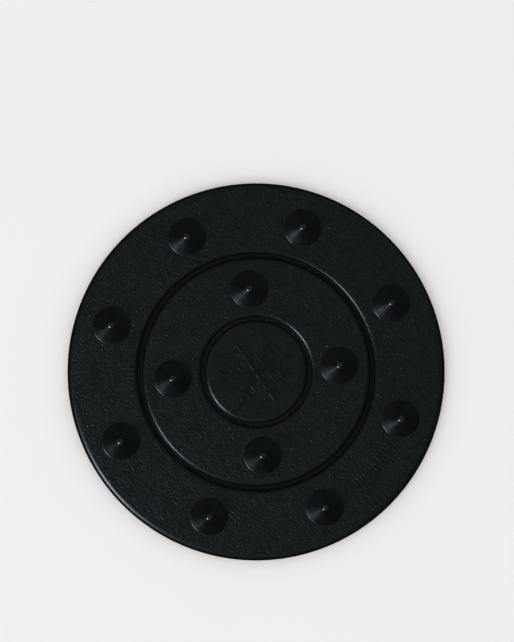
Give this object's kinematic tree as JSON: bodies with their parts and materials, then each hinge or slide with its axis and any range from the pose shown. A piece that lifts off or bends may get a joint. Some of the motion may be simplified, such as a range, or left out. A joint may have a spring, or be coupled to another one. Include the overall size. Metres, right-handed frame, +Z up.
{
  "type": "snowboard stomp pad",
  "caption": "Round black snowboard stomp pad: a centre disc inside concentric rings with blunt conical spikes, each on its own adhesive tape over a shared release liner.",
  "frame": {"origin": "centre of the release liner's flat underside, the face towards the snowboard", "axes": "+Z up through the pad's thickness, out of the gripping side; +X and +Y each pass through a spike of the middle ring"},
  "size_m": [0.14, 0.14, 0.0106],
  "materials": {
    "grained_tpu": "near-black moulded TPU with a fine leather grain, polished on the spikes",
    "smooth_tpu": "near-black moulded TPU, satin, only faintly grained",
    "acrylic_tape": "dark grey double-sided acrylic adhesive tape, low sheen",
    "release_paper": "off-white silicone-coated release paper, soft sheen"
  },
  "bodies": {
    "liner": {"release_liner": "release_paper"},
    "outer_pad": {"outer_ring": "grained_tpu", "outer_ring_tape": "acrylic_tape"},
    "middle_pad": {"middle_ring": "grained_tpu", "middle_ring_tape": "acrylic_tape"},
    "centre_pad": {"centre_disc": "smooth_tpu", "centre_disc_tape": "acrylic_tape"}
  },
  "joints": [
    {"name": "outer_pad_lift", "type": "slide", "parent": "liner", "child": "outer_pad", "axis": [0, 0, 1], "range_m": [0, 0.02]},
    {"name": "middle_pad_lift", "type": "slide", "parent": "liner", "child": "middle_pad", "axis": [0, 0, 1], "range_m": [0, 0.03]},
    {"name": "centre_pad_lift", "type": "slide", "parent": "liner", "child": "centre_pad", "axis": [0, 0, 1], "range_m": [0, 0.04]}
  ]
}
